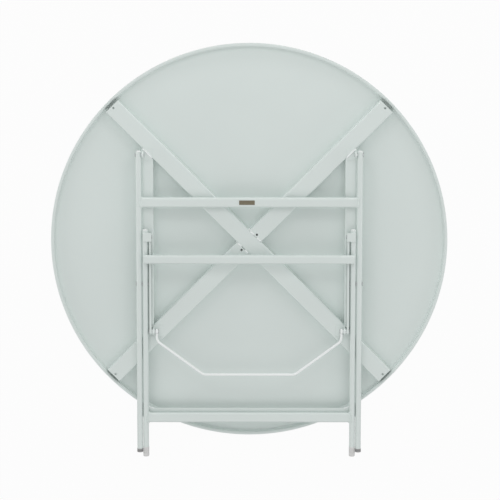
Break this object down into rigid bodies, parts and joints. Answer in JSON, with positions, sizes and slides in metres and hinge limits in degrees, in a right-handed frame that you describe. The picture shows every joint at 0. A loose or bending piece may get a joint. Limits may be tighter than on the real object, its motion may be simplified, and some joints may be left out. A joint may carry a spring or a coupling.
{
  "type": "round folding table",
  "caption": "Round metal folding table, lying folded on its top, with crossed braces underneath and scissor leg frames that swing up on hinges.",
  "frame": {"origin": "centre of the table top's outer face, which lies on the floor", "axes": "+Z out of the underside, +Y from the stay brackets towards the leg hinges, +X along the hinge line, to the right as the underside is seen"},
  "size_m": [1.1738, 1.233, 0.0661],
  "materials": {
    "top": "satin",
    "frame": "satin",
    "rod": "satin",
    "end_plug": "gloss",
    "light_plastic": "matte",
    "dark_plastic": "matte",
    "steel": "zinc plated",
    "plate": "satin"
  },
  "bodies": {
    "tabletop": {"top_sheet": "top", "rim_hoop": "top", "brace_long": "frame", "brace_half_upper": "frame", "brace_half_lower": "frame", "side_rail_left": "frame", "side_rail_right": "frame", "hinge_bracket_left": "frame", "hinge_bracket_right": "frame", "hinge_pin_left": "steel", "hinge_pin_right": "steel", "hinge_washers": "steel", "stay_bracket_left": "frame", "stay_bracket_right": "frame", "stay_pin_left": "steel", "stay_pin_right": "steel", "stay_washers": "steel"},
    "outer_frame": {"outer_leg_left": "frame", "outer_leg_right": "frame", "outer_crossbar": "frame", "label_plate": "plate", "outer_tie_plate": "frame", "outer_top_plug_left": "end_plug", "outer_top_plug_right": "end_plug", "outer_foot_left": "dark_plastic", "outer_foot_right": "dark_plastic", "pivot_rivet_left": "steel", "pivot_rivet_right": "steel", "pivot_washers": "steel"},
    "inner_frame": {"inner_leg_left": "frame", "inner_leg_right": "frame", "inner_crossbar_upper": "frame", "front_bar_caps": "frame", "inner_crossbar_lower": "frame", "inner_top_plug_left": "end_plug", "inner_top_plug_right": "end_plug", "inner_foot_left": "light_plastic", "inner_foot_right": "light_plastic", "knee_block_left": "frame", "knee_block_right": "frame", "knee_pin_left": "steel", "knee_pin_right": "steel", "pivot_stud_left": "steel", "pivot_stud_right": "steel"},
    "stay_links": {"stay_link_left": "frame", "stay_link_right": "frame"},
    "lock_bail": {"lock_bail": "rod"}
  },
  "joints": [
    {"name": "outer_fold", "type": "hinge", "parent": "tabletop", "child": "outer_frame", "pos_m": [0, 0.262, 0.043], "axis": [-1, 0, 0], "range_deg": [0, 52.47]},
    {"name": "stay_swing", "type": "hinge", "parent": "tabletop", "child": "stay_links", "pos_m": [0, -0.266, 0.043], "axis": [1, 0, 0], "range_deg": [0, 43.72]},
    {"name": "knee_fold", "type": "hinge", "parent": "stay_links", "child": "inner_frame", "pos_m": [0, 0.018, 0.043], "axis": [-1, 0, 0], "range_deg": [0, 173.07]},
    {"name": "bail_swing", "type": "hinge", "parent": "tabletop", "child": "lock_bail", "pos_m": [0, -0.266, 0.043], "axis": [-1, 0, 0], "range_deg": [-9, 100]}
  ],
  "couplings": [
    {"joint": "stay_swing", "follows": "outer_fold", "ratio": 0.8331},
    {"joint": "knee_fold", "follows": "outer_fold", "ratio": 3.2985}
  ]
}
